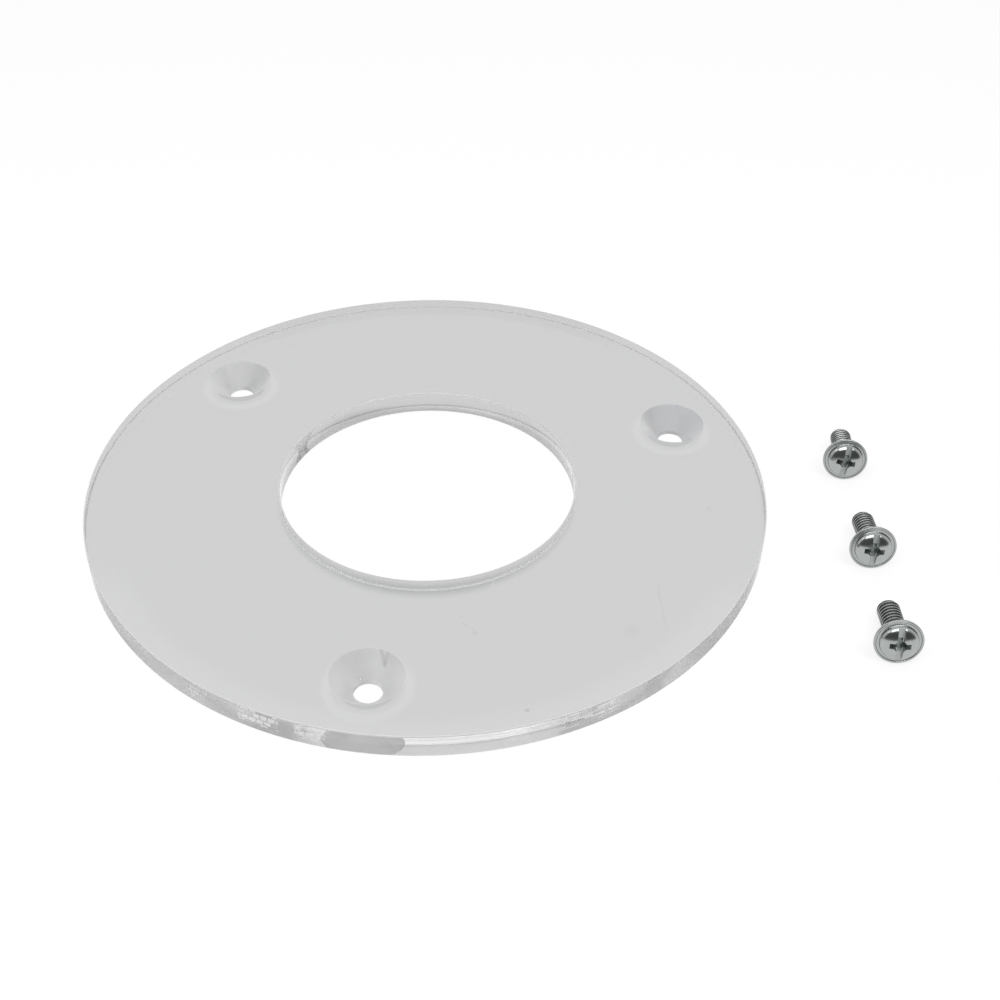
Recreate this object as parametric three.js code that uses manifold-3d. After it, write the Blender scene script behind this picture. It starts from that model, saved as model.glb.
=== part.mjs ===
// Round clear plastic sub base for a router, with the three washer-head screws that hold it on.
// Millimetres, +Z up. The plate lies flat with its countersunk sole upward, and the screws lie loose
// in a row on its right. The origin is the middle of the whole set, on the surface that it lies on.

import * as THREE from "three";
import { ConvexGeometry } from "three/addons/geometries/ConvexGeometry.js";
import { mergeVertices, toCreasedNormals } from "three/addons/utils/BufferGeometryUtils.js";
import Module from "manifold-3d";

const wasm = await Module();
wasm.setup();

// The plate
const plateDiameter = 152.4;
const plateThickness = 5.5;
const rimChamfer = 0.2;
const openingDiameter = 66.7;
const openingChamfer = 0.2;

// The screw holes, evenly spaced in from the rim
const holeToRim = 14.7;
const holeCount = 3;
const firstHoleDegrees = -98.3;
const countersinkDegrees = 90;
const shankClearance = 0.55;
const headSinkDepth = 0.15;

// The screws: a number 10 thread, half an inch long under the head
const threadDiameter = 4.8;
const screwLength = 12.7;
const tipChamfer = 0.6;
const headDiameter = 10.1;
const headHeight = 2.5;
const flangeThickness = 0.6;
const flangeEdgeBreak = 0.12;
const flangeLipWidth = 0.4;
const flangeDish = 0.15;
const domeDiameter = 7.9;
const domeSkirt = 0.4;

// The combination drive: a slot across the dome, with a tapered cross at its middle. The core is
// the round pocket where the walls of the cross run together.
const slotWidth = 1.4;
const slotDepth = 1.15;
const crossSpan = 4.7;
const crossRootSpan = 2.2;
const crossWing = 1.25;
const crossRootWing = 0.75;
const crossDepth = 2;
const coreDiameter = 2.7;
const coreRootDiameter = 1.3;

// How the loose screws lie: places along and aside of their row, as shares of the spacing
const screwRowGap = 20.8;
const screwSpacing = 29.4;
const screwLay = [
  { name: "screw_rear", alongShare: 0.362, asideShare: -0.016, headingDegrees: -6.5, turnDegrees: -6.5 },
  { name: "screw_middle", alongShare: -0.682, asideShare: 0.006, headingDegrees: -1.8, turnDegrees: -2.5 },
  { name: "screw_front", alongShare: -1.647, asideShare: 0.001, headingDegrees: -3.3, turnDegrees: 0.5 },
];

// How far a cutting shape runs past the face that it leaves through
const cutOverrun = 1;

// Facets round each kind of circle
const plateFacets = 160;
const holeFacets = 48;
const screwFacets = 40;
const coreFacets = 24;
const domeSteps = 8;
const creaseDegrees = 30;

const plateRadius = plateDiameter / 2;
const openingRadius = openingDiameter / 2;
const boltCircleRadius = plateRadius - holeToRim;
const headRadius = headDiameter / 2;
const threadRadius = threadDiameter / 2;
const domeRadius = domeDiameter / 2;

// Half the set's width lies on each side of the origin
const plateCentreX = -(screwRowGap + headRadius) / 2;

const clearPlastic = new THREE.MeshStandardMaterial({
  color: 0xd4d6d6,
  roughness: 0.06,
  metalness: 0,
  transparent: true,
  opacity: 0.4,
});
const zincPlate = new THREE.MeshStandardMaterial({
  color: 0xb4b9b6,
  roughness: 0.24,
  metalness: 1,
});

// Turns a profile of [radius, height] points about +Z. They run out along the bottom, up the outside
// and back in over the top, and end on the axis or where they began.
function revolve(profile, facets) {
  const points = profile.map(([radius, height]) => new THREE.Vector2(radius, height));
  const geometry = new THREE.LatheGeometry(points, facets);
  geometry.rotateX(Math.PI / 2);
  return geometry;
}

// Makes a closed geometry into a solid: corners are shared, and flat triangles on the axis go
function toSolid(geometry) {
  const bare = geometry.clone();
  bare.deleteAttribute("normal");
  bare.deleteAttribute("uv");
  const merged = mergeVertices(bare);
  const corners = merged.index.array;
  const kept = [];
  for (let i = 0; i < corners.length; i += 3) {
    const [a, b, c] = corners.slice(i, i + 3);
    if (a !== b && b !== c && c !== a) {
      kept.push(a, b, c);
    }
  }
  const mesh = new wasm.Mesh({
    numProp: 3,
    vertProperties: Float32Array.from(merged.attributes.position.array),
    triVerts: Uint32Array.from(kept),
  });
  return new wasm.Manifold(mesh);
}

// Gives a solid back as a geometry to show, with its edges kept crisp
function toGeometry(solid) {
  const { vertProperties, triVerts } = solid.getMesh();
  const geometry = new THREE.BufferGeometry();
  geometry.setAttribute("position", new THREE.BufferAttribute(Float32Array.from(vertProperties), 3));
  geometry.setIndex(new THREE.BufferAttribute(Uint32Array.from(triVerts), 1));
  return toCreasedNormals(geometry, THREE.MathUtils.degToRad(creaseDegrees));
}

// The ring itself, both faces flat, with a chamfer on each of its four edges
function plateRing() {
  const top = plateThickness;
  return revolve([
    [openingRadius + openingChamfer, 0],
    [plateRadius - rimChamfer, 0],
    [plateRadius, rimChamfer],
    [plateRadius, top - rimChamfer],
    [plateRadius - rimChamfer, top],
    [openingRadius + openingChamfer, top],
    [openingRadius, top - openingChamfer],
    [openingRadius, openingChamfer],
    [openingRadius + openingChamfer, 0],
  ], plateFacets);
}

// One screw hole. The cone is as wide at the sole as it takes to seat the head's rim deep enough
// for the crown to end below the sole, and it runs down until only the shank's hole is left.
function countersunkHole() {
  const slope = Math.tan(THREE.MathUtils.degToRad(countersinkDegrees / 2));
  const holeRadius = threadRadius + shankClearance;
  const mouthRadius = headRadius + (headHeight + headSinkDepth) * slope;
  const coneDepth = (mouthRadius - holeRadius) / slope;
  const floor = -cutOverrun;
  const roof = plateThickness + cutOverrun;
  return revolve([
    [0, floor],
    [holeRadius, floor],
    [holeRadius, plateThickness - coneDepth],
    [mouthRadius + cutOverrun * slope, roof],
    [0, roof],
  ], holeFacets);
}

function subBasePlate() {
  let solid = toSolid(plateRing());
  for (let i = 0; i < holeCount; i += 1) {
    const hole = countersunkHole();
    hole.translate(boltCircleRadius, 0, 0);
    hole.rotateZ(i * 2 * Math.PI / holeCount);
    solid = solid.subtract(toSolid(hole));
  }
  const mesh = new THREE.Mesh(toGeometry(solid), clearPlastic);
  mesh.name = "sub_base_plate";
  mesh.rotation.z = THREE.MathUtils.degToRad(firstHoleDegrees);
  mesh.position.x = plateCentreX;
  return mesh;
}

// Tip, thread at its full diameter, flange and domed crown in one turned blank. The flange's
// underside is at height 0, the tip points down and the crown up. The flange is dished inside a
// narrow lip, and the dome stands in the dish.
function screwBlank() {
  const domeFoot = flangeThickness - flangeDish;
  const domeEdge = domeFoot + domeSkirt;
  const profile = [
    [0, -screwLength],
    [threadRadius - tipChamfer, -screwLength],
    [threadRadius, tipChamfer - screwLength],
    [threadRadius, 0],
    [headRadius - flangeEdgeBreak, 0],
    [headRadius, flangeEdgeBreak],
    [headRadius, flangeThickness - flangeEdgeBreak],
    [headRadius - flangeEdgeBreak, flangeThickness],
    [headRadius - flangeLipWidth, flangeThickness],
    [headRadius - flangeLipWidth - flangeDish, domeFoot],
    [domeRadius, domeFoot],
  ];
  for (let i = 0; i <= domeSteps; i += 1) {
    const angle = i / domeSteps * Math.PI / 2;
    profile.push([domeRadius * Math.cos(angle), domeEdge + (headHeight - domeEdge) * Math.sin(angle)]);
  }
  profile[profile.length - 1][0] = 0;
  return revolve(profile, screwFacets);
}

// One bar of the cross, narrowing in both directions from the crown down to its root
function taperedBar() {
  const depths = [
    { height: headHeight, span: crossSpan, wing: crossWing },
    { height: headHeight - crossDepth, span: crossRootSpan, wing: crossRootWing },
  ];
  const corners = [];
  for (const { height, span, wing } of depths) {
    for (const x of [-wing / 2, wing / 2]) {
      for (const y of [-span / 2, span / 2]) {
        corners.push(new THREE.Vector3(x, y, height));
      }
    }
  }
  return new ConvexGeometry(corners);
}

function taperedCore() {
  const core = new THREE.CylinderGeometry(coreDiameter / 2, coreRootDiameter / 2, crossDepth, coreFacets);
  core.rotateX(Math.PI / 2);
  core.translate(0, 0, headHeight - crossDepth / 2);
  return core;
}

// The slot runs right across the dome and stops above the flange
function driveSlot() {
  const slot = new THREE.BoxGeometry(slotWidth, headDiameter, slotDepth + cutOverrun);
  slot.translate(0, 0, headHeight + (cutOverrun - slotDepth) / 2);
  return slot;
}

function screwGeometry() {
  let solid = toSolid(screwBlank());
  solid = solid.subtract(toSolid(driveSlot()));
  solid = solid.subtract(toSolid(taperedCore()));
  for (const angle of [0, Math.PI / 2]) {
    const bar = taperedBar();
    bar.rotateZ(angle);
    solid = solid.subtract(toSolid(bar));
  }
  return toGeometry(solid);
}

// A screw at rest on its flange's rim and the edge of its tip, which makes the shank dip. Its head
// faces -Y, swung round by the heading, and the slot stands upright, but for the turn.
function looseScrew({ name, alongShare, asideShare, headingDegrees, turnDegrees }) {
  const dip = Math.atan((headRadius - threadRadius) / (screwLength - tipChamfer));
  const mesh = new THREE.Mesh(screwGeometry(), zincPlate);
  mesh.name = name;
  mesh.rotation.set(Math.PI / 2 - dip, 0, THREE.MathUtils.degToRad(turnDegrees));
  const place = new THREE.Group();
  place.add(mesh);
  place.rotation.z = THREE.MathUtils.degToRad(headingDegrees);
  place.position.set(
    plateCentreX + plateRadius + screwRowGap + asideShare * screwSpacing,
    alongShare * screwSpacing,
    headRadius * Math.cos(dip),
  );
  return place;
}

const subBase = new THREE.Group();
subBase.add(subBasePlate());
for (const lay of screwLay) {
  subBase.add(looseScrew(lay));
}

export default subBase;
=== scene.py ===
import math

import bmesh
import bpy
from mathutils import Matrix, Vector


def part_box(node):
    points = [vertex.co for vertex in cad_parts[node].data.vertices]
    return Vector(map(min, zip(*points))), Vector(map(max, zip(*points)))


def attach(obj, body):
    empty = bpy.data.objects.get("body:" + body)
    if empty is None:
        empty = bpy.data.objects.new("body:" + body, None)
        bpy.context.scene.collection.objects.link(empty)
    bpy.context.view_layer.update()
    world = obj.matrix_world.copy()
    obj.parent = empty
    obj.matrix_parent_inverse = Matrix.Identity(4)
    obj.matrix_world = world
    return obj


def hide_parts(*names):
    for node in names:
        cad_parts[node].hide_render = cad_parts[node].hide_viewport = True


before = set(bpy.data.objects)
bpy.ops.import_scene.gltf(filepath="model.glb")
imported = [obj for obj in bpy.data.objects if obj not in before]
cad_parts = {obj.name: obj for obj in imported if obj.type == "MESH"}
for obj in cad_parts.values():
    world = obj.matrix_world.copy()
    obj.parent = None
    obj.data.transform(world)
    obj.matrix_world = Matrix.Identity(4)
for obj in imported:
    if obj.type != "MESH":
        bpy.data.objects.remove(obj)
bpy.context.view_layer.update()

mm = 0.001
scene = bpy.context.scene
scene.view_settings.view_transform = "Standard"
# light runs a long way inside the clear plate before it comes out again
lightSteps = 32
scene.cycles.max_bounces = lightSteps
scene.cycles.glossy_bounces = lightSteps
scene.cycles.transmission_bounces = lightSteps
print("loaded the packed nodes:", ", ".join(sorted(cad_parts)))


class Wire:
    # the output of a node, so that numbers can be added and multiplied as in ordinary sums
    def __init__(self, finish, socket):
        self.finish = finish
        self.socket = socket

    def sum(self, operation, first, second):
        return self.finish.node("Math", {"operation": operation}, {0: first, 1: second})

    def __add__(self, other):
        return self.sum("ADD", self, other)

    def __radd__(self, other):
        return self.sum("ADD", other, self)

    def __sub__(self, other):
        return self.sum("SUBTRACT", self, other)

    def __rsub__(self, other):
        return self.sum("SUBTRACT", other, self)

    def __mul__(self, other):
        return self.sum("MULTIPLY", self, other)

    def __rmul__(self, other):
        return self.sum("MULTIPLY", other, self)

    def __abs__(self):
        return self.finish.node("Math", {"operation": "ABSOLUTE"}, {0: self})


class Finish:
    # a material or the world, and the one way that its nodes are made
    def __init__(self, owner):
        owner.use_nodes = True
        self.owner = owner
        self.tree = owner.node_tree
        self.tree.nodes.clear()

    def node(self, kind, settings=None, values=None, out=None):
        made = self.tree.nodes.new("ShaderNode" + kind)
        for key, setting in (settings or {}).items():
            setattr(made, key, setting)
        for key, value in (values or {}).items():
            if isinstance(key, int):
                socket = made.inputs[key]
            else:
                socket = next(s for s in made.inputs if s.name == key and s.enabled)
            if isinstance(value, Wire):
                self.tree.links.new(value.socket, socket)
            else:
                socket.default_value = value
        if not made.outputs:
            return None
        if out is None:
            return Wire(self, next(s for s in made.outputs if s.enabled))
        return Wire(self, next(s for s in made.outputs if s.name == out and s.enabled))

    def place(self, stretch=(1, 1, 1), degrees=0):
        # where a point is on the piece, in millimetres, turned about Z and stretched
        spot = self.node("TexCoord", out="Object")
        if degrees:
            spot = self.node("VectorRotate", {"rotation_type": "Z_AXIS"},
                             {"Vector": spot, "Angle": math.radians(degrees)})
        return self.node("VectorMath", {"operation": "MULTIPLY"},
                         {0: spot, 1: [share / mm for share in stretch]})

    def parts(self, spot, axes):
        # how far a place lies along each of the named axes
        return [self.node("SeparateXYZ", values={"Vector": spot}, out=axis) for axis in axes]

    def noise(self, where, scale, detail=2, roughness=0.5):
        return self.node("TexNoise", values={
            "Vector": where, "Scale": scale, "Detail": detail, "Roughness": roughness,
        }, out="Fac")

    def fade(self, value, start, end):
        # runs smoothly from 0 to 1 while the value goes from start to end
        return self.node("MapRange", {"interpolation_type": "SMOOTHSTEP"},
                         {"Value": value, "From Min": start, "From Max": end})

    def band(self, value, start, full, last, end):
        # rises from start to full, and falls again from last to end
        return self.fade(value, start, full) * self.fade(value, end, last)

    def mixColour(self, share, first, second):
        return self.node("Mix", {"data_type": "RGBA"}, {"Factor": share, "A": first, "B": second})

    def bump(self, height, distance, strength):
        return self.node("Bump", values={
            "Height": height, "Distance": distance * mm, "Strength": strength,
        })

    def awayFrom(self, spot, place):
        # how far a point is from a place on the piece
        return self.node("VectorMath", {"operation": "DISTANCE"},
                         {0: spot, 1: place}, out="Value")

    def awayFromLine(self, spot, start, end):
        # how far a point is from a straight line between two places
        way = Vector(end) - Vector(start)
        offset = self.node("VectorMath", {"operation": "SUBTRACT"}, {0: spot, 1: start})
        along = self.node("VectorMath", {"operation": "DOT_PRODUCT"},
                          {0: offset, 1: way / way.length_squared}, out="Value")
        share = self.node("Clamp", values={"Value": along})
        nearest = self.node("VectorMath", {"operation": "MULTIPLY_ADD"},
                            {0: share, 1: way, 2: start})
        return self.awayFrom(spot, nearest)

    def close(self, shader):
        kind = "OutputWorld" if isinstance(self.owner, bpy.types.World) else "OutputMaterial"
        self.node(kind, values={"Surface": shader})
        return self.owner


def grey(level):
    return (level, level, level, 1)


def soften(outline, closed):
    # rounds each corner of an outline of [radius, height, rounding] points
    points, steps = [], 4
    for i, (radius, height, rounding) in enumerate(outline):
        here = Vector((radius, height))
        if rounding == 0 or (not closed and i in (0, len(outline) - 1)):
            points.append(here)
            continue
        back = (Vector(outline[i - 1][:2]) - here).normalized()
        ahead = (Vector(outline[(i + 1) % len(outline)][:2]) - here).normalized()
        half = back.angle(ahead) / 2
        centre = here + (back + ahead).normalized() * rounding / math.sin(half)
        start = here + back * rounding / math.tan(half) - centre
        sweep = math.pi - 2 * half
        if back.cross(ahead) > 0:
            sweep = -sweep
        for k in range(steps + 1):
            points.append(centre + Matrix.Rotation(sweep * k / steps, 2) @ start)
    return points


def turn(name, outline, facets, closed=False):
    # a lathe: turns an outline in millimetres about Z, and gives an object
    angles = [2 * math.pi * k / facets for k in range(facets)]
    shape = bmesh.new()
    rings = []
    for radius, height in soften(outline, closed):
        ringAngles = angles if radius > 0 else angles[:1]
        rings.append([shape.verts.new((radius * mm * math.cos(angle),
                                       radius * mm * math.sin(angle), height * mm))
                      for angle in ringAngles])
    pairs = list(zip(rings, rings[1:]))
    if closed:
        pairs.append((rings[-1], rings[0]))
    for low, high in pairs:
        for k in range(facets):
            corners = [low[k % len(low)], low[(k + 1) % len(low)],
                       high[(k + 1) % len(high)], high[k % len(high)]]
            corners = list(dict.fromkeys(corners))
            if len(corners) > 2:
                shape.faces.new(corners)
    bmesh.ops.recalc_face_normals(shape, faces=shape.faces)
    return toObject(name, shape)


def toObject(name, shape):
    mesh = bpy.data.meshes.new(name)
    shape.to_mesh(mesh)
    shape.free()
    piece = bpy.data.objects.new(name, mesh)
    scene.collection.objects.link(piece)
    return piece


def keepModifiers(piece):
    # what the modifiers make becomes the piece's own mesh
    shown = piece.evaluated_get(bpy.context.evaluated_depsgraph_get())
    mesh = bpy.data.meshes.new_from_object(shown)
    piece.modifiers.clear()
    piece.data = mesh


def cut(piece, cutter):
    bpy.context.view_layer.update()
    difference = piece.modifiers.new("cut", "BOOLEAN")
    difference.operation = "DIFFERENCE"
    difference.solver = "EXACT"
    difference.object = cutter
    keepModifiers(piece)
    bpy.data.objects.remove(cutter)


def smooth(piece, degrees):
    # smooth shading that stays crisp at edges sharper than this, with flat faces kept flat
    for face in piece.data.polygons:
        face.use_smooth = True
    piece.data.set_sharp_from_angle(angle=math.radians(degrees))
    weighted = piece.modifiers.new("flat faces", "WEIGHTED_NORMAL")
    weighted.keep_sharp = True
    keepModifiers(piece)


# the camera stands where the photographer's did
camera = {
    "lens": 51.805,
    "sensor": 36,
    "place": (3.5, -253.23, 211.3),
    "lookDown": 39.883,
    "tilt": 0.899,
    "nearest": 10,             # nothing closer than this is shown
}


def makeCamera():
    eye = bpy.data.objects.new("camera", bpy.data.cameras.new("camera"))
    eye.data.lens = camera["lens"]
    eye.data.sensor_width = camera["sensor"]
    eye.data.clip_start = camera["nearest"] * mm
    eye.matrix_world = (
        Matrix.Translation(Vector(camera["place"]) * mm)
        @ Matrix.Rotation(math.radians(90 - camera["lookDown"]), 4, "X")
        @ Matrix.Rotation(math.radians(camera["tilt"]), 4, "Z")
    )
    scene.collection.objects.link(eye)
    scene.camera = eye


# plain soft light, and white paper under the set
studio = {
    "floorSize": 6000,
    "floorDrop": 0.05,         # how far the floor lies under the set
    "floorColour": grey(0.8),  # what lights the set from below
    "floorShown": grey(0.95),
    "floorShadow": 0.2,        # share of the floor's look that shadows darken
    "roomLevel": 0.8,
    "darkLevel": 0.1,
    "darkFront": (-0.15, -0.55),   # where the dark front wall starts and is full
    "darkHeight": (0.81, 0.73),    # how high it reaches, 1 is overhead
    "lamps": [
        {"name": "overhead", "azimuth": 5, "elevation": 66, "away": 900, "width": 1200,
         "depth": 400, "power": 5.2, "throughPlastic": True},
        {"name": "left", "azimuth": -76, "elevation": 40, "away": 900, "width": 260,
         "depth": 140, "power": 0.2, "throughPlastic": False},
    ],
}


def makeFloor():
    half = studio["floorSize"] * mm / 2
    shape = bmesh.new()
    shape.faces.new([shape.verts.new((x * half, y * half, -studio["floorDrop"] * mm))
                     for x, y in ((-1, -1), (1, -1), (1, 1), (-1, 1))])
    floor = toObject("floor", shape)
    paper = Finish(bpy.data.materials.new("white paper"))
    direct, mirrored, refracted = (
        paper.node("LightPath", out=name)
        for name in ("Is Camera Ray", "Is Glossy Ray", "Is Transmission Ray"))
    lit = paper.node("BsdfDiffuse", values={"Color": studio["floorColour"]})
    white = paper.node("Emission", values={"Color": grey(1), "Strength": 1.0})
    bright = paper.node("BsdfDiffuse", values={"Color": studio["floorShown"]})
    shown = paper.node("MixShader", values={0: studio["floorShadow"], 1: white, 2: bright})
    floor.data.materials.append(paper.close(
        paper.node("MixShader", values={0: direct + mirrored + refracted, 1: lit, 2: shown})))


def makeRoom():
    # white behind the set for the camera, and a pale room with a dark front wall for the light
    room = Finish(bpy.data.worlds.new("room"))
    along, height = room.parts(room.node("TexCoord", out="Generated"), "YZ")
    wall = room.fade(along, *studio["darkFront"]) * room.fade(height, *studio["darkHeight"])
    level = studio["roomLevel"] - (studio["roomLevel"] - studio["darkLevel"]) * wall
    direct = room.node("LightPath", out="Is Camera Ray")
    strength = level + direct * (1 - level)
    scene.world = room.close(
        room.node("Background", values={"Color": grey(1), "Strength": strength}))


def makeLamps():
    for lamp in studio["lamps"]:
        light = bpy.data.lights.new(lamp["name"] + " lamp", "AREA")
        light.shape = "RECTANGLE"
        light.size = lamp["width"] * mm
        light.size_y = lamp["depth"] * mm
        light.energy = lamp["power"]
        around, up = math.radians(lamp["azimuth"]), math.radians(lamp["elevation"])
        way = Vector((math.sin(around) * math.cos(up), -math.cos(around) * math.cos(up),
                      math.sin(up)))
        holder = bpy.data.objects.new(light.name, light)
        holder.location = way * lamp["away"] * mm
        holder.rotation_euler = way.to_track_quat("Z", "Y").to_euler()
        holder.visible_transmission = lamp["throughPlastic"]
        scene.collection.objects.link(holder)


makeCamera()
makeFloor()
makeRoom()
makeLamps()
print("camera, floor, room and lamps made")

# the clear plate, in millimetres from its own axis: across is to the right, along to the back.
# Two numbers tell where a look starts and is full, and four also where it is last full and ends.
plate = {
    "radius": 76.2,
    "thickness": 5.5,
    "rimChamfer": 0.2,
    "rimRounding": 0.2,
    "boreRadius": 33.35,
    "boreChamfer": 0.25,
    "boreRounding": 0.15,
    "facets": 288,
    "creaseAngle": 32,
    "holeToRim": 14.7,
    "holeCount": 3,
    "firstHole": -98.3,
    "holeRadius": 2.95,
    "holeRounding": 0.1,
    "mouthRadius": 7.55,
    "mouthBreak": 0.05,
    "holeFacets": 96,
    "bend": 1.49,              # how strongly the plastic refracts
    "passes": grey(0.9),       # the light that it lets through to the floor

    # polished faces, with a few marks of their own on the sole
    "sheet": {
        "tint": (0.65, 0.655, 0.655, 1),
        "hazeTint": grey(0.645),
        "roughness": 0.02,
        "hazeRoughness": 0.02,
        "wipeRoughness": 0.12,
        "wipeStretch": (0.04, 3.2, 1),
        "wipeLevel": (0.74, 0.8),
        "wipeDepth": 0.0006,
        "wipeStrength": 0.3,
        "wipes": [(22, 1.0, 0), (-38, 0.8, 7), (81, 0.9, 13)],   # direction, scale and shift
        "markTint": grey(0.45),
        # dull specks: across, along, radius and how dark
        "specks": [
            (22.2, -69.1, 0.7, 0.9), (62.8, -8.9, 1.1, 0.25), (43.3, -47.7, 2.4, 0.22),
            (8.9, -44.2, 0.5, 0.3), (9.3, -45.9, 0.5, 0.3), (9.9, -46.6, 0.6, 0.4),
            (11.3, -47.6, 0.5, 0.3), (11.8, -48.6, 0.8, 0.35),
        ],
        "speckCore": 0.3,      # share of a speck's radius that is fully dark
        # the corners of one long scratch
        "scratch": [(49.7, -33.2), (49.7, -36.5), (50.0, -41.0), (50.2, -44.2), (50.7, -46.6)],
        "scratchWidth": (0.4, 0.15),
        "scratchDark": 0.16,
    },

    # light and shade on the underside, by the distance from an axis
    "underside": {
        "height": (0.6, 0.3),
        "ring": (6.6, 7.9, 8.2, 10.2),
        "ringTint": (0.73, 0.735, 0.735, 1),
        "rimRing": (66.5, 73),
        "rimRingAlong": (-22, -40),
        "rimRingShare": 0.7,
        "shade": (6.3, 5.6),
        "shadeTint": (0.47, 0.475, 0.48, 1),
        "boreShade": (34.4, 31.8),
        "boreShadeAxis": (0, -1.8, 0),
        "boreShadeTint": (0.37, 0.375, 0.38, 1),
    },

    # edges as the cutter left them, with painted shade and painted highlight in zones
    "edge": {
        "tint": (0.85, 0.855, 0.86, 1),
        "patchTint": grey(0.82),
        "roughness": 0.02,
        "patchRoughness": 0.03,
        "patchStretch": (0.12, 0.12, 0.5),
        "dullRoughness": 0.04,
        "rimReach": (45, 55),
        "front": (-20, -35),
        "sides": (-48, -36),
        "back": (-22, -8),
        # painted shade: the rim is darker outside the window, darkest at its sides, less at its
        # back
        "dullShadeTint": (0.34, 0.344, 0.344, 1),
        "sideShadeTint": grey(0.23),
        "backShadeTint": grey(0.68),
        "veil": 0.22,          # share of white on the dull front
        "veilAlong": (-46, -56),
        # the clear front window, and by height its painted foot shade, shade lines and highlight
        # zone
        "window": (-23, -18.5, 30, 38),
        "windowSeen": (-3, -1),
        "windowFootShade": (3.3, 2.9),
        "windowFootShadeTint": grey(0.7),
        "shadeLines": [((2.7, 2.9, 3.2, 3.4), 1.0), ((4.35, 4.5, 4.7, 4.85), 0.5)],
        "shadeLineTint": grey(0.5),
        "highlightZone": (3.4, 3.55, 3.9, 4.3),
        "highlightTint": grey(1),
        # where the cutter chattered: across, and how strongly
        "chatter": [((-45, -43, -39.5, -38), 0.4), ((-33.5, -32.5, -25.5, -24.5), 1.0),
                    ((-22, -21.3, -16.2, -15.5), 1.0), ((27, 30, 38, 41), 1.0)],
        "chatterHeight": (1.3, 1.9),
        "chatterFrost": 0.6,
        "blockWidth": 1.7,
        "blockHeight": 1.3,
        "blockGap": 0.16,
        "wobbleAround": 2,
        "wobbleUp": 0.9,
        "streaks": (-5, 5),    # from here across, the blocks are drawn out into streaks
        "streakLonger": 0.7,
        "streakThinner": 1.2,
        # the back of the opening's wall, with painted shade that makes it greyer at its foot
        "boreBack": (-14, -4),
        "boreMiddle": 3,
        "boreSides": (8, 26),
        "footTop": 2.6,
        "footFull": 0.6,
        "footTopSides": 2.4,   # how much higher that is at the two sides
        "footFullSides": 0.7,
        "footShadeTint": grey(0.34),
        "rippleStretch": (0.3, 0.3, 2.4),
        "rippleDepth": 0.004,
        "rippleStrength": 0.35,
        "rippleElsewhere": 0.12,   # how much of the front's ripples the rest has
    },

    # corners, broken with fine abrasive paper
    "brokenEdge": {
        "tint": (0.72, 0.725, 0.73, 1),
        "patchTint": grey(0.66),
        "roughness": 0.35,
        "grainRoughness": 0.15,
        "grainDepth": 0.002,
        "grainStrength": 0.5,
        "clearness": 0.3,
        # the opening's lower corner is broken more coarsely, and shows white through the plate
        "coarseHeight": (1, 0.5),
        "coarseReach": (40, 36),
        "coarseFrost": 0.4,
    },

    # countersinks, matt and faintly ringed, with painted shade on the right and front ones
    "cone": {
        "tint": (0.7, 0.705, 0.715, 1),
        "patchTint": grey(0.78),
        "roughness": 0.42,
        "patchRoughness": 0.12,
        "clearness": 0.55,
        "ringStretch": (0.3, 0.3, 12),
        "ringDepth": 0.01,
        "ringStrength": 0.5,
        # painted shade on the right countersink and on the front one
        "rightAcross": (50, 58),
        "rightShadeTint": (0.63, 0.64, 0.665, 1),
        "frontAlong": (-50, -54),
        "frontShadeTint": grey(0.65),
        # the back of the front countersink, which stays lighter, free of the painted shade
        "backMiddle": -8.9,
        "backWidth": (5, 1.5),
        "backAlong": (-61.5, -59),
        # nicks in the front countersink: start and end of each
        "nicks": [
            ((-6.7, -53.3, 5.5), (-5.8, -56.2, 3.5)), ((-5.1, -54.1, 5.5), (-5.8, -56.0, 3.7)),
        ],
        "nickWidth": (0.6, 0.1),
        "nickDark": 0.6,
        "nickTint": grey(0.5),
        # a chip with a white middle
        "chip": (-10.6, -57.85, 1.4),
        "chipWidth": (0.6, 0.35),
        "chipDark": 0.5,
        "chipMiddle": (0.3, 0.2),
        "chipTint": grey(1),
    },
}


def holeCentres():
    # where the axes of the screw holes stand on the plate
    reach = plate["radius"] - plate["holeToRim"]
    angles = [math.radians(plate["firstHole"] + 360 * i / plate["holeCount"])
              for i in range(plate["holeCount"])]
    return [Vector((reach * math.cos(angle), reach * math.sin(angle), 0)) for angle in angles]


def makeHoleCutter():
    # straight up through the plate, then out along the cone, and well past both faces
    hole, mouth, lip = plate["holeRadius"], plate["mouthRadius"], plate["mouthBreak"]
    top = plate["thickness"]
    below, above, flare = 1, 0.6, 1.5
    return turn("hole", [
        (0, -below, 0),
        (hole, -below, 0),
        (hole, top - (mouth - hole), plate["holeRounding"]),
        (mouth - lip, top - lip, 0),
        (mouth + lip, top, 0),
        (mouth + lip + flare, top + above, 0),
        (0, top + above, 0),
    ], plate["holeFacets"])


def makePlate():
    r, top = plate["radius"], plate["thickness"]
    bore, chamfer, broken = plate["boreRadius"], plate["rimChamfer"], plate["boreChamfer"]
    outside, inside = plate["rimRounding"], plate["boreRounding"]
    piece = turn("subBasePlate", [
        (bore + broken, 0, inside),
        (r - chamfer, 0, outside),
        (r, chamfer, outside),
        (r, top - chamfer, outside),
        (r - chamfer, top, outside),
        (bore + broken, top, inside),
        (bore, top - broken, inside),
        (bore, broken, inside),
    ], plate["facets"], closed=True)
    for centre in holeCentres():
        cutter = makeHoleCutter()
        cutter.location = centre * mm
        cut(piece, cutter)
    smooth(piece, plate["creaseAngle"])
    low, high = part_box("sub_base_plate")
    piece.location.x = (low.x + high.x) / 2
    dressPlate(piece)
    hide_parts("sub_base_plate")
    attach(piece, "plate")


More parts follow.
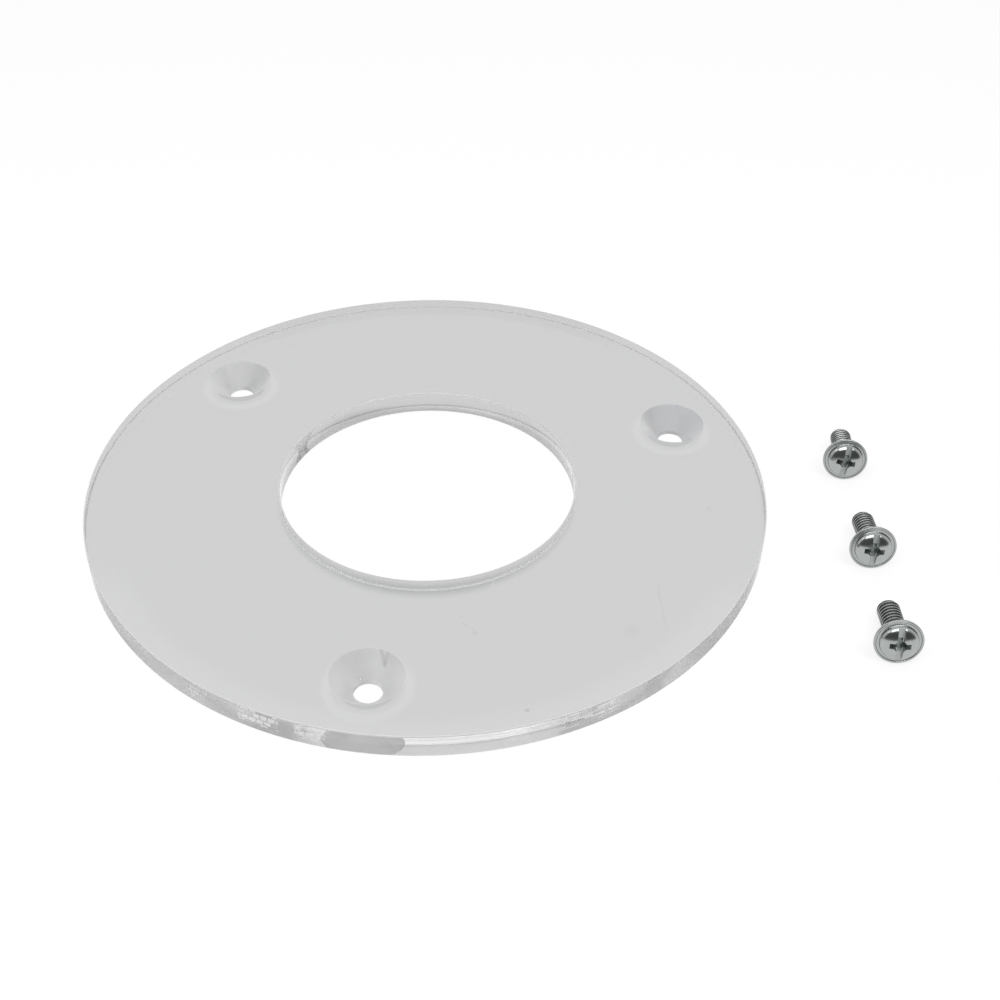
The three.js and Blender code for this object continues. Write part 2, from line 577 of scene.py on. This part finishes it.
def dressPlate(piece):
    # which finish each face of the plate has
    for finish in (sheetFinish(), edgeFinish(), coneFinish(), brokenEdgeFinish()):
        piece.data.materials.append(finish)
    sheet, edge, cone, brokenEdge = range(4)
    flat, leaning, mouthMargin = 0.999, 0.15, 0.3
    centres = [centre.xy * mm for centre in holeCentres()]
    for face in piece.data.polygons:
        nearHole = min((face.center.xy - centre).length for centre in centres)
        if abs(face.normal.z) > flat:
            face.material_index = sheet
        elif nearHole < (plate["mouthRadius"] + mouthMargin) * mm:
            face.material_index = cone
        elif abs(face.normal.z) > leaning:
            face.material_index = brokenEdge
        else:
            face.material_index = edge


def lightUnderPlate(finish, colour):
    # paints what the light does under the plate
    look = plate["underside"]
    spot = finish.place((1, 1, 0))
    along, height = finish.parts(finish.place(), "YZ")
    underside = finish.fade(height, *look["height"])
    # each countersink bends light into a ring, with a shade inside it
    first, *others = holeCentres()
    reach = finish.awayFrom(spot, first)
    for centre in others:
        away = finish.awayFrom(spot, centre)
        reach = finish.node("Math", {"operation": "MINIMUM"}, {0: reach, 1: away})
    ring = finish.band(reach, *look["ring"])
    shade = finish.fade(reach, *look["shade"])
    # the front of the rim throws some light inwards too
    axis = (0, 0, 0)
    rimRing = finish.fade(finish.awayFrom(spot, axis), *look["rimRing"])
    ring = ring + look["rimRingShare"] * rimRing * finish.fade(along, *look["rimRingAlong"])
    # the wall of the opening throws a soft shade, drawn towards the front
    boreShade = finish.fade(finish.awayFrom(spot, look["boreShadeAxis"]), *look["boreShade"])
    colour = finish.mixColour(ring * underside, colour, look["ringTint"])
    colour = finish.mixColour(shade * underside, colour, look["shadeTint"])
    return finish.mixColour(boreShade * underside, colour, look["boreShadeTint"])


def clearShader(finish, colour, roughness, normal, clearness=1.0, frost=None):
    # clear plastic, which lamps and the light off the floor pass straight through
    plastic = finish.node("BsdfPrincipled", values={
        "Base Color": colour, "Roughness": roughness, "Normal": normal,
        "IOR": plate["bend"], "Transmission Weight": clearness,
    })
    if frost:
        white = finish.node("BsdfDiffuse", values={"Color": grey(1)})
        plastic = finish.node("MixShader", values={0: frost, 1: plastic, 2: white})
    shadow = finish.node("LightPath", out="Is Shadow Ray")
    diffuse = finish.node("LightPath", out="Is Diffuse Ray")
    passing = finish.node("BsdfTransparent", values={"Color": plate["passes"]})
    return finish.close(
        finish.node("MixShader", values={0: shadow + diffuse, 1: plastic, 2: passing}))


def sheetFinish():
    # polished faces with fine wiping scratches in a few directions
    look = plate["sheet"]
    finish = Finish(bpy.data.materials.new("clear sheet"))
    wiped = 0
    for direction, scale, shift in look["wipes"]:
        where = finish.node("VectorMath", {"operation": "ADD"}, {
            0: finish.place(look["wipeStretch"], direction), 1: (shift, shift, shift)})
        wiped = finish.fade(finish.noise(where, scale, detail=1), *look["wipeLevel"]) + wiped
    haze = finish.noise(finish.place(), scale=0.05, detail=3)
    spot, top = finish.place(), plate["thickness"]
    marks = 0
    for across, along, radius, dark in look["specks"]:
        away = finish.awayFrom(spot, (across, along, top))
        marks = dark * finish.fade(away, radius, look["speckCore"] * radius) + marks
    for start, end in zip(look["scratch"], look["scratch"][1:]):
        away = finish.awayFromLine(spot, (*start, top), (*end, top))
        marks = look["scratchDark"] * finish.fade(away, *look["scratchWidth"]) + marks
    roughness = (look["roughness"] + look["hazeRoughness"] * haze
                 + look["wipeRoughness"] * wiped)
    normal = finish.bump(wiped, look["wipeDepth"], look["wipeStrength"])
    colour = finish.mixColour(haze, look["tint"], look["hazeTint"])
    colour = lightUnderPlate(finish, colour)
    colour = finish.mixColour(marks, colour, look["markTint"])
    return clearShader(finish, colour, roughness, normal)


def chatterMarks(finish, spot):
    # bricks of light, short blocks on the left and long streaks on the right
    look = plate["edge"]
    across, along, height = finish.parts(spot, "XYZ")
    zones = 0
    for zone, strength in look["chatter"]:
        zones = strength * finish.band(across, *zone) + zones
    streaks = finish.fade(across, *look["streaks"])
    turned = finish.node("Math", {"operation": "ARCTAN2"}, {0: along, 1: across})
    wobble = finish.noise(spot, scale=0.3)
    around = turned * plate["radius"] + look["wobbleAround"] * wobble
    up = height + look["wobbleUp"] * wobble
    rows = finish.node("CombineXYZ", values={
        "X": around * (1 - look["streakLonger"] * streaks),
        "Y": up * (1 + look["streakThinner"] * streaks),
    })
    blocks = finish.node("TexBrick", values={
        "Vector": rows, "Color1": grey(0), "Color2": grey(1), "Mortar": grey(0), "Scale": 1.0,
        "Mortar Size": look["blockGap"], "Mortar Smooth": 0.3,
        "Brick Width": look["blockWidth"], "Row Height": look["blockHeight"],
    })
    return zones * finish.fade(height, *look["chatterHeight"]) * finish.fade(blocks, 0.2, 0.5)


def edgeFinish():
    # edges left by the cutter: clear at the front, duller with painted shade beside it, chattered
    # here and there
    look = plate["edge"]
    finish = Finish(bpy.data.materials.new("turned edge"))
    spot = finish.place()
    across, along, height = finish.parts(spot, "XYZ")
    patches = finish.noise(finish.place(look["patchStretch"]), scale=1.0)
    axis = (0, 0, 0)
    rim = finish.fade(finish.awayFrom(finish.place((1, 1, 0)), axis), *look["rimReach"])
    front = rim * finish.fade(along, *look["front"])
    window = front * finish.band(across, *look["window"])
    dullAndShaded = rim - window
    colour = finish.mixColour(patches, look["tint"], look["patchTint"])
    # painted shade darkens the rim outside the window, most at its sides and less at its back
    colour = finish.mixColour(dullAndShaded, colour, look["dullShadeTint"])
    colour = finish.mixColour(rim * finish.fade(along, *look["sides"]), colour, look["sideShadeTint"])
    colour = finish.mixColour(rim * finish.fade(along, *look["back"]), colour, look["backShadeTint"])
    # the painted shade at the wall's foot reaches higher at the two sides of the opening
    aside = finish.fade(abs(across - look["boreMiddle"]), *look["boreSides"])
    boreFootShade = (1 - rim) * finish.fade(along, *look["boreBack"]) * finish.fade(
        height, look["footTop"] + look["footTopSides"] * aside,
        look["footFull"] + look["footFullSides"] * aside)
    colour = finish.mixColour(boreFootShade, colour, look["footShadeTint"])
    # painted shade greys the window's foot, with a painted highlight and fine shade lines above
    windowFootShade = window * finish.fade(height, *look["windowFootShade"])
    seen = window * finish.fade(across, *look["windowSeen"])
    shadeLines = 0
    for zone, strength in look["shadeLines"]:
        shadeLines = strength * finish.band(height, *zone) + shadeLines
    bright = seen * finish.band(height, *look["highlightZone"])
    colour = finish.mixColour(windowFootShade, colour, look["windowFootShadeTint"])
    colour = finish.mixColour(bright, colour, look["highlightTint"])
    colour = finish.mixColour(seen * shadeLines, colour, look["shadeLineTint"])
    roughness = (look["roughness"] + look["patchRoughness"] * patches
                 + look["dullRoughness"] * dullAndShaded)
    # the cutter's ripples show at the front, and hardly anywhere else
    ripples = finish.noise(finish.place(look["rippleStretch"]), 1.0, detail=3, roughness=0.6)
    ripples = ripples * (look["rippleElsewhere"] + (1 - look["rippleElsewhere"]) * front)
    normal = finish.bump(ripples, look["rippleDepth"], look["rippleStrength"])
    frost = (look["chatterFrost"] * front * chatterMarks(finish, spot)
             + look["veil"] * dullAndShaded * finish.fade(along, *look["veilAlong"]))
    return clearShader(finish, colour, roughness, normal, frost=frost)


def brokenEdgeFinish():
    look = plate["brokenEdge"]
    finish = Finish(bpy.data.materials.new("broken edge"))
    grain = finish.noise(finish.place(), scale=2)
    patches = finish.noise(finish.place(), scale=0.15)
    colour = finish.mixColour(patches, look["tint"], look["patchTint"])
    roughness = look["roughness"] + look["grainRoughness"] * grain
    normal = finish.bump(grain, look["grainDepth"], look["grainStrength"])
    height = finish.parts(finish.place(), "Z")[0]
    axis = (0, 0, 0)
    reach = finish.awayFrom(finish.place((1, 1, 0)), axis)
    coarse = finish.fade(height, *look["coarseHeight"]) * finish.fade(reach, *look["coarseReach"])
    return clearShader(finish, colour, roughness, normal, look["clearness"],
                       frost=look["coarseFrost"] * coarse)


def coneFinish():
    look = plate["cone"]
    finish = Finish(bpy.data.materials.new("frosted countersink"))
    spot = finish.place()
    across, along = finish.parts(spot, "XY")
    rings = finish.noise(finish.place(look["ringStretch"]), 1.0, detail=3, roughness=0.6)
    patches = finish.noise(spot, scale=0.4, detail=3)
    roughness = look["roughness"] + look["patchRoughness"] * patches
    normal = finish.bump(rings, look["ringDepth"], look["ringStrength"])
    colour = finish.mixColour(patches, look["tint"], look["patchTint"])
    # painted shade on the right countersink, and on the front one but for its back
    # the right countersink is a little greyer than the others, and the front one but for its back
    back = (finish.fade(abs(across - look["backMiddle"]), *look["backWidth"])
            * finish.fade(along, *look["backAlong"]))
    front = finish.fade(along, *look["frontAlong"]) * (1 - back)
    colour = finish.mixColour(finish.fade(across, *look["rightAcross"]), colour,
                              look["rightShadeTint"])
    colour = finish.mixColour(front, colour, look["frontShadeTint"])
    chip = finish.awayFrom(spot, look["chip"])
    nicks = look["chipDark"] * finish.fade(chip, *look["chipWidth"])
    for start, end in look["nicks"]:
        away = finish.awayFromLine(spot, start, end)
        nicks = look["nickDark"] * finish.fade(away, *look["nickWidth"]) + nicks
    colour = finish.mixColour(nicks, colour, look["nickTint"])
    colour = finish.mixColour(finish.fade(chip, *look["chipMiddle"]), colour, look["chipTint"])
    return clearShader(finish, colour, roughness, normal, look["clearness"])


makePlate()
print("plate made")

# the three screws are alike, and differ only in how they lie
screw = {
    "threadRadius": 2.4,
    "length": 12.7,
    "tipChamfer": 0.6,
    "tipRunout": 1.4,          # how many chamfers from the tip the thread is full
    "pitch": 25.4 / 24,
    "threadDepth": 0.62,
    # one pitch of the thread, as shares of the pitch and of the depth
    "threadForm": [
        (0, 0.9), (0.04, 1), (0.22, 1), (0.26, 0.9), (0.36, 0.6), (0.5, 0.15), (0.54, 0.03),
        (0.58, 0), (0.64, 0), (0.68, 0.03), (0.72, 0.15), (0.88, 0.6),
    ],
    "crestShare": 0.1,         # share of the thread's depth that counts as its crest
    "facets": 96,
    "creaseAngle": 30,
    "headRadius": 5.05,
    "headHeight": 2.5,
    "neckRadius": 2.0,         # a short neck reaches down into the shank
    "neckDepth": 0.3,
    "neckFlare": 0.3,
    "flangeThickness": 0.6,
    "flangeRounding": 0.14,
    "flangeLip": 0.4,
    "flangeDish": 0.15,
    "lipRounding": 0.06,
    "domeRadius": 3.95,
    "domeSkirt": 0.3,
    "domeFootRounding": 0.12,
    "domeSteps": 22,
    "slotWidth": 1.4,
    "slotDepth": 1.15,
    "crossSpan": 4.7,
    "crossRootSpan": 2.2,
    "crossWing": 1.25,
    "crossRootWing": 0.75,
    "crossDepth": 2.0,
    "crossOver": 0.25,         # share of its depth that the cross's cutter runs on past the crown
    "coreRadius": 1.35,
    "coreRootRadius": 0.65,
    "coreFacets": 48,
    # colour and roughness of each finish
    "finishes": {
        "zinc plating": ((0.4, 0.418, 0.41, 1), 0.13),
        # painted shade in the drive's cross, and painted light in its slot
        "shaded drive recess": ((0.3, 0.335, 0.325, 1), 0.42),
        "lightened drive slot": ((0.43, 0.452, 0.438, 1), 0.38),
        # painted shade in the thread's grooves, and painted light on its crests
        "shaded thread groove": ((0.1, 0.102, 0.105, 1), 0.3),
        "lightened thread crest": ((0.44, 0.455, 0.45, 1), 0.24),
    },
    "cloudLift": 1.12,         # how much lighter the plating is where it is clouded
    "cloudRoughness": 0.06,
    "grainRoughness": 0.04,
    "grainDepth": 0.004,
    "grainStrength": 0.4,
    # along and aside of the row, heading and turn of each
    "rowGap": 20.8,
    "spacing": 29.4,
    "lay": {
        "rear": (0.362, -0.016, -6.5, -6.5),
        "middle": (-0.682, 0.006, -1.8, -2.5),
        "front": (-1.647, 0.001, -3.3, 0.5),
    },
}


def threadHeight(share):
    # how high the thread stands at a share of its pitch, as a share of its depth
    share %= 1
    form = screw["threadForm"]
    for (a, x), (b, y) in zip(form, form[1:] + [(1, form[0][1])]):
        if a <= share <= b:
            return x + (y - x) * (share - a) / (b - a)
    return 0


def makeShank():
    # rows of points follow the thread's lead, and are held back at the two ends
    pitch, depth, radius = screw["pitch"], screw["threadDepth"], screw["threadRadius"]
    low, high = -screw["length"], 0
    tipRadius = radius - screw["tipChamfer"] * screw["tipRunout"]
    facets = screw["facets"]
    starts = [start for start, _ in screw["threadForm"]]
    turns = math.ceil((high - low) / pitch) + 2
    shape = bmesh.new()
    columns = []
    for k in range(facets):
        lead = k / facets
        angle = 2 * math.pi * lead
        column = []
        for row in range(turns * len(starts)):
            at = low - pitch + pitch * (row // len(starts) + starts[row % len(starts)] + lead)
            z = min(max(at, low), high)
            r = radius - depth + depth * threadHeight((z - low) / pitch - lead)
            r = min(r, tipRadius + (z - low))
            column.append(shape.verts.new((r * mm * math.cos(angle), r * mm * math.sin(angle),
                                           z * mm)))
        columns.append(column)
    for k in range(facets):
        here, there = columns[k], columns[(k + 1) % facets]
        # the last column meets the first one a pitch further on
        step = len(starts) if k == facets - 1 else 0
        for row in range(len(here) - 1 - step):
            shape.faces.new([here[row], there[row + step], there[row + 1 + step],
                             here[row + 1]])
    bmesh.ops.remove_doubles(shape, verts=shape.verts, dist=0.0001 * mm)
    bmesh.ops.holes_fill(shape, edges=shape.edges)
    bmesh.ops.recalc_face_normals(shape, faces=shape.faces)
    return toObject("shank", shape)


def makeHead():
    foot = screw["flangeThickness"] - screw["flangeDish"]
    dome, skirt, neck = screw["domeRadius"], screw["domeSkirt"], screw["neckRadius"]
    edge, lipInside = screw["headRadius"], screw["headRadius"] - screw["flangeLip"]
    outline = [
        (0, -screw["neckDepth"], 0),
        (neck, -screw["neckDepth"], 0),
        (neck + screw["neckFlare"], 0, 0),
        (edge, 0, screw["flangeRounding"]),
        (edge, screw["flangeThickness"], screw["flangeRounding"]),
        (lipInside, screw["flangeThickness"], screw["lipRounding"]),
        (lipInside - screw["flangeDish"], foot, screw["lipRounding"]),
        (dome, foot, screw["domeFootRounding"]),
    ]
    for i in range(screw["domeSteps"]):
        angle = i / screw["domeSteps"] * math.pi / 2
        rise = (screw["headHeight"] - foot - skirt) * math.sin(angle)
        outline.append((dome * math.cos(angle), foot + skirt + rise, 0))
    outline.append((0, screw["headHeight"], 0))
    head = turn("head", outline, screw["facets"])
    cutDrive(head)
    return head


def cutDrive(head):
    # a slot right across, then the core and the two bars of the tapered cross, each from
    # its floor to well above the crown
    crown, over = screw["headHeight"], screw["crossOver"]
    root, mouth = crown - screw["crossDepth"], crown + over * screw["crossDepth"]
    above = 1
    shape = bmesh.new()
    bmesh.ops.create_cube(shape, size=1)
    bmesh.ops.scale(shape, verts=shape.verts, vec=Vector((
        screw["slotWidth"], 2 * screw["headRadius"], screw["slotDepth"] + above)) * mm)
    bmesh.ops.translate(shape, verts=shape.verts, vec=Vector((
        0, 0, crown + (above - screw["slotDepth"]) / 2)) * mm)
    cut(head, toObject("slot", shape))
    coreRoot = screw["coreRootRadius"]
    cut(head, turn("core", [
        (0, root, 0),
        (coreRoot, root, 0),
        (coreRoot + (screw["coreRadius"] - coreRoot) * (1 + over), mouth, 0),
        (0, mouth, 0),
    ], screw["coreFacets"]))
    rootSpan, rootWing = screw["crossRootSpan"], screw["crossRootWing"]
    mouthSpan = rootSpan + (screw["crossSpan"] - rootSpan) * (1 + over)
    mouthWing = rootWing + (screw["crossWing"] - rootWing) * (1 + over)
    for quarter in (0, 1):
        shape = bmesh.new()
        for z, span, wing in ((root, rootSpan, rootWing), (mouth, mouthSpan, mouthWing)):
            for x in (-wing / 2, wing / 2):
                for y in (-span / 2, span / 2):
                    shape.verts.new(Vector((x, y, z)) * mm)
        bmesh.ops.convex_hull(shape, input=shape.verts)
        bmesh.ops.recalc_face_normals(shape, faces=shape.faces)
        bar = toObject("bar", shape)
        bar.rotation_euler.z = quarter * math.pi / 2
        cut(head, bar)


def zincFinish(name, colour, roughness):
    # plated steel, faintly clouded, with a fine grain
    finish = Finish(bpy.data.materials.new(name))
    spot = finish.place()
    clouds = finish.noise(spot, scale=0.9, detail=4)
    grain = finish.noise(spot, scale=9, detail=3)
    lighter = [min(1, screw["cloudLift"] * c) for c in colour[:3]] + [1]
    metal = finish.node("BsdfPrincipled", values={
        "Base Color": finish.mixColour(clouds, colour, lighter),
        "Roughness": (roughness + screw["cloudRoughness"] * clouds
                      + screw["grainRoughness"] * grain),
        "Normal": finish.bump(grain, screw["grainDepth"], screw["grainStrength"]),
        "Metallic": 1.0,
    })
    return finish.close(metal)


def dressScrew(piece):
    # which finish each face of a screw has
    names = list(screw["finishes"])
    piece.data.materials.clear()
    for name in names:
        piece.data.materials.append(zincFinish(name, *screw["finishes"][name]))
    dome, margin, driveFloor, crossReach, inside = screw["domeRadius"], 0.02, 0.3, 0.65, 0.97
    base = screw["flangeThickness"] - screw["flangeDish"] + screw["domeSkirt"]
    slotFloor = screw["headHeight"] - screw["slotDepth"]
    crest = screw["threadRadius"] - screw["crestShare"] * screw["threadDepth"]
    tip = screw["tipChamfer"] - screw["length"]
    for face in piece.data.polygons:
        x, y, z = face.center / mm
        reach = math.hypot(x, y)
        across, up = reach / dome, (z - base) / (screw["headHeight"] - base)
        # faces under the dome are the drive's: its slot, or the walls and floor of the cross
        sunk = z > driveFloor and (up < 0 or across * across + up * up < inside)
        aside = abs(x) > screw["slotWidth"] / 2 + margin or z < slotFloor - margin
        finish = "zinc plating"
        # painted shade in the grooves and painted light on the crests
        if tip < z < 0:
            finish = "shaded thread groove" if reach < crest else "lightened thread crest"
        # painted shade in the cross, painted light in the slot
        elif sunk and across < crossReach and aside:
            finish = "shaded drive recess"
        elif sunk and up > 0 and across < inside:
            finish = "lightened drive slot"
        face.material_index = names.index(finish)


def makeScrews():
    shape = bmesh.new()
    for part in (makeShank(), makeHead()):
        shape.from_mesh(part.data)
        bpy.data.objects.remove(part)
    whole = toObject("screw", shape)
    smooth(whole, screw["creaseAngle"])
    dressScrew(whole)
    # at rest on the rim of its head and the edge of its tip, which makes the shank dip
    dip = math.atan((screw["headRadius"] - screw["threadRadius"])
                    / (screw["length"] - screw["tipChamfer"]))
    low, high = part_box("sub_base_plate")
    row = (low.x + high.x) / 2 + (plate["radius"] + screw["rowGap"]) * mm
    for name, (along, aside, heading, turned) in screw["lay"].items():
        piece = bpy.data.objects.new(name + "Screw", whole.data.copy())
        scene.collection.objects.link(piece)
        piece.data.transform(
            Matrix.Translation((row + aside * screw["spacing"] * mm,
                                along * screw["spacing"] * mm,
                                screw["headRadius"] * math.cos(dip) * mm))
            @ Matrix.Rotation(math.radians(heading), 4, "Z")
            @ Matrix.Rotation(math.pi / 2 - dip, 4, "X")
            @ Matrix.Rotation(math.radians(turned), 4, "Z")
        )
        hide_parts("screw_" + name)
        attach(piece, name + "_screw")
    bpy.data.objects.remove(whole)


makeScrews()
print("screws made")
